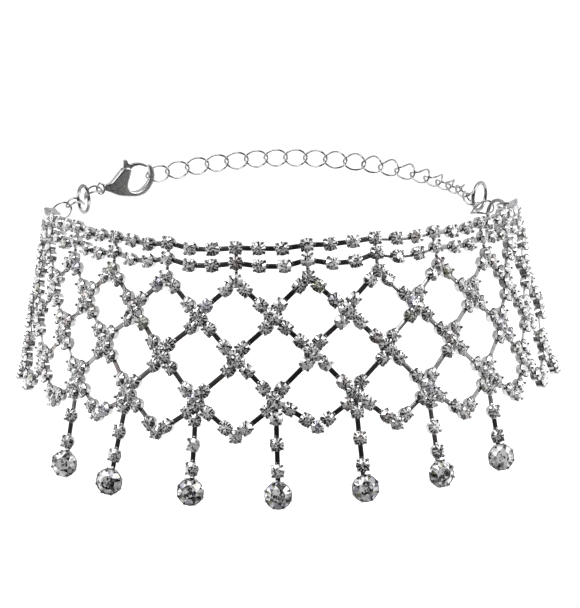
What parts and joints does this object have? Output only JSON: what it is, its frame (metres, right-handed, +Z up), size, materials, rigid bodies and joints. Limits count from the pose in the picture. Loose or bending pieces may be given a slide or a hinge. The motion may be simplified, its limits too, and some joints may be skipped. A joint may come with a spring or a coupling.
{
  "type": "choker necklace",
  "caption": "Choker necklace: a flared diamond net of small clear stones in silver cups, with hanging stone drops, an extender chain and a sprung clasp.",
  "frame": {"origin": "centre of the neck opening, level with the top row of cups", "axes": "+Z up, the front of the necklace faces -Y, +X to the viewer's right"},
  "size_m": [0.1219, 0.0981, 0.06],
  "materials": {
    "cup_metal": "bright silver plate with clear stones",
    "drop_metal": "bright silver plate with clear stones",
    "setting_metal": "bright silver plate",
    "crystal": "faceted clear crystal",
    "chain_metal": "polished silver plate",
    "ring_metal": "polished silver plate",
    "clasp_metal": "polished silver plate",
    "lever_metal": "polished silver plate"
  },
  "bodies": {
    "necklace": {"rhinestone_net": "cup_metal", "drop_chain_1": "drop_metal", "drop_setting_1": "setting_metal", "drop_stone_1": "crystal", "drop_chain_2": "drop_metal", "drop_setting_2": "setting_metal", "drop_stone_2": "crystal", "drop_chain_3": "drop_metal", "drop_setting_3": "setting_metal", "drop_stone_3": "crystal", "drop_chain_4": "drop_metal", "drop_setting_4": "setting_metal", "drop_stone_4": "crystal", "drop_chain_5": "drop_metal", "drop_setting_5": "setting_metal", "drop_stone_5": "crystal", "drop_chain_6": "drop_metal", "drop_setting_6": "setting_metal", "drop_stone_6": "crystal", "drop_chain_7": "drop_metal", "drop_setting_7": "setting_metal", "drop_stone_7": "crystal", "extender_link_01": "chain_metal", "extender_link_02": "chain_metal", "extender_link_03": "chain_metal", "extender_link_04": "chain_metal", "extender_link_05": "chain_metal", "extender_link_06": "chain_metal", "extender_link_07": "chain_metal", "extender_link_08": "chain_metal", "extender_link_09": "chain_metal", "extender_link_10": "chain_metal", "extender_link_11": "chain_metal", "extender_link_12": "chain_metal", "extender_link_13": "chain_metal", "extender_link_14": "chain_metal", "extender_link_15": "chain_metal", "extender_link_16": "chain_metal", "extender_link_17": "chain_metal", "extender_link_18": "chain_metal", "extender_link_19": "chain_metal", "extender_link_20": "chain_metal", "jump_ring_left_end": "ring_metal", "jump_ring_clasp": "ring_metal", "jump_ring_extender": "ring_metal", "jump_ring_right_end": "ring_metal", "link_left_1": "chain_metal", "link_left_2": "chain_metal", "link_left_3": "chain_metal", "link_right_1": "chain_metal", "clasp_body": "clasp_metal"},
    "lever": {"clasp_lever": "lever_metal"}
  },
  "joints": [
    {"name": "clasp_lever", "type": "hinge", "parent": "necklace", "child": "lever", "pos_m": [-0.03612, 0.01737, 0.00555], "axis": [-0.4636, 0.886, 0], "range_deg": [0, 20], "stiffness_Nm_per_rad": 0.004, "springref_deg": -17.19}
  ]
}
